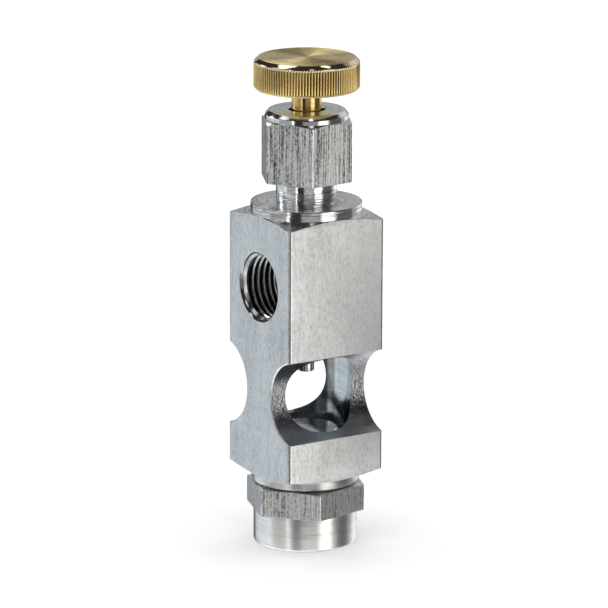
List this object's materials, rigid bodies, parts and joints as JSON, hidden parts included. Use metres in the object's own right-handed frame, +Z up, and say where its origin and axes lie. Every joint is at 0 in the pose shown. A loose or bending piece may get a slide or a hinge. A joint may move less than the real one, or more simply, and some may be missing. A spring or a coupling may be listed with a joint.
{
  "type": "sight feed needle valve",
  "caption": "Square-bar drip-feed needle valve with knurled brass knob, hexagon packing nut, side inlet port, open sight window and threaded outlet fitting.",
  "frame": {"origin": "centre of the outlet fitting's bottom face, which the valve stands on", "axes": "+Z up along the needle axis, inlet port facing -X, sight window open along -Y and +Y"},
  "size_m": [0.0172, 0.0164, 0.0701],
  "materials": {
    "body_aluminium": "extruded bar, drawn lines along its length, turned ends",
    "fitting_aluminium": "turned, fine circular tool marks",
    "nut_aluminium": "drawn hexagon flats with a polished turned collar",
    "knob_brass": "straight knurl, turned top face",
    "stem_brass": "turned and polished",
    "gland_brass": "turned",
    "nozzle_steel": "turned, bright",
    "seal_rubber": "matt",
    "packing_polymer": "waxy white fluoropolymer"
  },
  "bodies": {
    "valve": {"valve_body": "body_aluminium", "outlet_fitting": "fitting_aluminium", "outlet_o_ring": "seal_rubber", "drip_nozzle": "nozzle_steel", "packing_washer": "gland_brass", "stem_packing_1": "packing_polymer", "stem_packing_2": "packing_polymer", "gland_follower": "gland_brass", "packing_nut": "nut_aluminium"},
    "needle": {"needle_stem": "stem_brass"},
    "knob": {"knob": "knob_brass"}
  },
  "joints": [
    {"name": "needle_lift", "type": "slide", "parent": "valve", "child": "needle", "axis": [0, 0, 1], "range_m": [-0.0012, 0.0024]},
    {"name": "knob_turn", "type": "hinge", "parent": "needle", "child": "knob", "pos_m": [0, 0, 0.06556], "axis": [0, 0, 1], "range_deg": [-540, 1080]}
  ],
  "couplings": [
    {"joint": "needle_lift", "follows": "knob_turn", "m_per_rad": 0.0001263}
  ]
}
